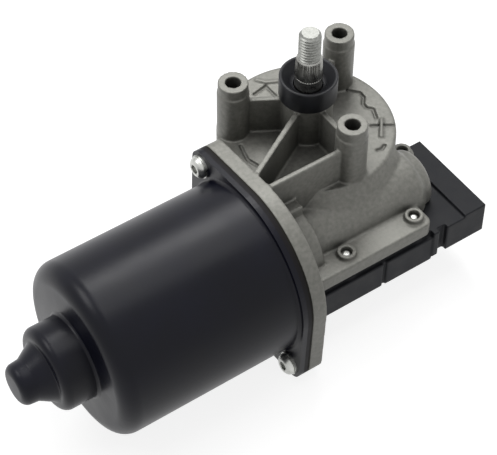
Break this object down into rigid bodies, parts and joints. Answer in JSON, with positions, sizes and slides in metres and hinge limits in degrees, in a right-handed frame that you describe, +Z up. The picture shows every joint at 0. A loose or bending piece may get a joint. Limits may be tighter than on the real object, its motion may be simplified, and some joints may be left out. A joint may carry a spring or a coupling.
{
  "type": "wiper gearmotor",
  "caption": "Gearmotor with a cylindrical motor can, worm gearing in a cast case, a threaded output spindle among hollow mounting posts, and a side plug socket.",
  "frame": {"origin": "on the output shaft's axis, level with the tops of the mounting posts", "axes": "+Z up along the output shaft, +X from the motor can towards the plug socket, +Y away from the motor"},
  "size_m": [0.1834, 0.1021, 0.0996],
  "materials": {
    "can_paint": "satin black paint over drawn steel",
    "cast_aluminium": "as-cast matt aluminium",
    "cover_plastic": "moulded charcoal plastic",
    "brown_laminate": "phenolic plate",
    "gear_plastic": "natural acetal",
    "black_rubber": "black rubber",
    "steel": "bright steel",
    "zinc_steel": "zinc-plated steel",
    "brass": "bright brass",
    "bronze": "sintered bronze",
    "copper": "bare and enamelled copper",
    "ferrite": "sintered ferrite",
    "carbon": "carbon brush",
    "core_steel": "stacked steel laminations"
  },
  "bodies": {
    "case": {"motor_can": "can_paint", "gear_housing": "cast_aluminium", "gear_cover": "cover_plastic", "cover_seal": "black_rubber", "connector_terminals": "brass", "lead_plate": "brown_laminate", "cover_screws": "zinc_steel", "flange_gasket": "black_rubber", "brush_carrier": "cover_plastic", "flange_washers": "zinc_steel", "flange_screws": "zinc_steel", "brush_boxes": "brass", "spring_common": "steel", "spring_low_speed": "steel", "spring_high_speed": "steel", "suppression_chokes": "copper", "suppression_capacitor": "brown_laminate", "thermal_cutout": "steel", "brush_leads": "black_rubber", "field_magnets": "ferrite", "magnet_clips": "steel", "front_bearing_outer_ring": "steel", "front_bearing_balls": "steel", "worm_end_bush": "bronze", "worm_thrust_pad": "gear_plastic", "rear_bearing": "bronze", "rear_bearing_retainer": "steel", "rear_thrust_pad": "gear_plastic", "thrust_washers": "steel", "upper_output_bush": "bronze", "lower_output_bush": "bronze", "shaft_o_ring": "black_rubber", "seal_cap": "black_rubber", "parking_contacts": "brass"},
    "armature": {"armature_shaft": "steel", "armature_core": "core_steel", "armature_windings": "copper", "commutator_hub": "brown_laminate", "commutator_segments": "copper", "front_bearing_inner_ring": "steel"},
    "output": {"output_shaft": "steel", "worm_wheel": "gear_plastic", "contact_disc": "brass", "retaining_clip": "steel"},
    "brush_common": {"brush_common": "carbon"},
    "brush_low_speed": {"brush_low_speed": "carbon"},
    "brush_high_speed": {"brush_high_speed": "carbon"}
  },
  "joints": [
    {"name": "armature_spin", "type": "hinge", "parent": "case", "child": "armature", "pos_m": [0, -0.028, -0.043], "axis": [1, 0, 0], "continuous": true},
    {"name": "output_spin", "type": "hinge", "parent": "case", "child": "output", "pos_m": [0, 0, 0], "axis": [0, 0, 1], "continuous": true},
    {"name": "brush_common_slide", "type": "slide", "parent": "case", "child": "brush_common", "axis": [0, 1, 0], "range_m": [0, 0.002], "stiffness_N_per_m": 100, "deforming": ["spring_common"]},
    {"name": "brush_low_speed_slide", "type": "slide", "parent": "case", "child": "brush_low_speed", "axis": [0, -1, 0], "range_m": [0, 0.002], "stiffness_N_per_m": 100, "deforming": ["spring_low_speed"]},
    {"name": "brush_high_speed_slide", "type": "slide", "parent": "case", "child": "brush_high_speed", "axis": [0, -0.5, 0.866], "range_m": [0, 0.002], "stiffness_N_per_m": 100, "deforming": ["spring_high_speed"]}
  ],
  "couplings": [
    {"joint": "output_spin", "follows": "armature_spin", "ratio": -0.017857}
  ]
}
